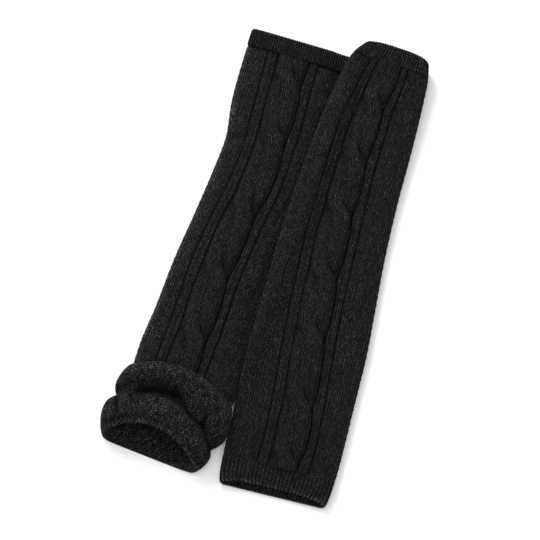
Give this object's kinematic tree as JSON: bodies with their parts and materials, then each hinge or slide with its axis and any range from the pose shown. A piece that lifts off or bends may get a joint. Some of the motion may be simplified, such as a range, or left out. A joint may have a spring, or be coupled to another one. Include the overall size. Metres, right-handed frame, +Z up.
{
  "type": "pair of cable knit over-the-knee socks",
  "caption": "Pair of footless cable knit over-the-knee socks laid flat side by side, one edge over the other, with ribbed bands and one lower end turned up in a thick rolled cuff.",
  "frame": {"origin": "centre of the pair's bounding box, on the surface the pair lies on", "axes": "+Z up from the surface, +Y along the right sock from its hem to its upper end, +X to the right sock's side"},
  "size_m": [0.2421, 0.4808, 0.0286],
  "materials": {
    "cable_knit": "matt wool, cable and rib knit",
    "rib_knit": "matt wool, fine one by one rib",
    "reverse_knit": "matt wool, reverse side of the knit"
  },
  "bodies": {
    "root": {"left_leg": "cable_knit", "left_top_band": "rib_knit", "left_turned_cuff": "reverse_knit", "right_leg": "cable_knit", "right_top_band": "rib_knit", "right_hem_band": "rib_knit"}
  },
  "joints": []
}
